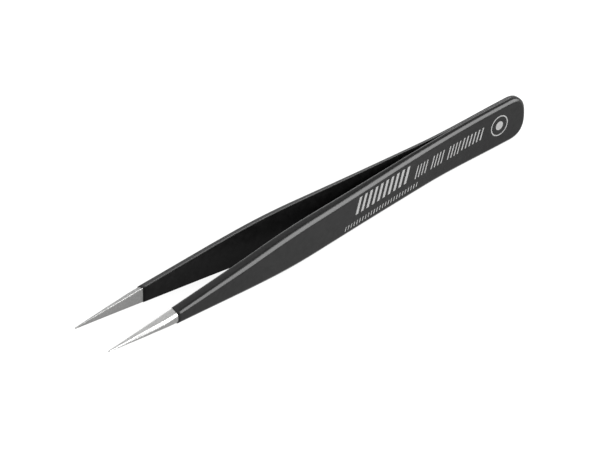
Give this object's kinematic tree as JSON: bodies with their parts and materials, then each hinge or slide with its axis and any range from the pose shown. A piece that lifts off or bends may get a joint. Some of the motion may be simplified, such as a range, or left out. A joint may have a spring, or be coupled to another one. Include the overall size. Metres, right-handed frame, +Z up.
{
  "type": "precision tweezers",
  "caption": "Fine-point precision tweezers: two sprung steel blades welded at a rounded heel, with a dark coating and bare needle tips.",
  "frame": {"origin": "middle of the footprint, on the surface that the blade edges stand on", "axes": "+X along the length from the tips to the heel, +Y from the front blade to the rear blade, +Z up across the blades' width"},
  "size_m": [0.11, 0.0118, 0.0097],
  "materials": {
    "steel": "satin",
    "coating": "satin",
    "weld": "matte"
  },
  "bodies": {
    "heel": {"front_blade_root": "steel", "rear_blade_root": "steel", "heel_coating": "coating", "weld_nuggets": "weld"},
    "front_arm": {"front_blade_arm": "steel", "front_arm_coating": "coating"},
    "rear_arm": {"rear_blade_arm": "steel", "rear_arm_coating": "coating"}
  },
  "joints": [
    {"name": "front_arm_flex", "type": "hinge", "parent": "heel", "child": "front_arm", "pos_m": [0.023, -0.00064, 0.00485], "axis": [0, 0, -1], "range_deg": [0, 3.42], "stiffness_Nm_per_rad": 0.7},
    {"name": "rear_arm_flex", "type": "hinge", "parent": "heel", "child": "rear_arm", "pos_m": [0.023, 0.00064, 0.00485], "axis": [0, 0, 1], "range_deg": [0, 3.42], "stiffness_Nm_per_rad": 0.7}
  ],
  "couplings": [
    {"joint": "rear_arm_flex", "follows": "front_arm_flex", "ratio": 1}
  ]
}
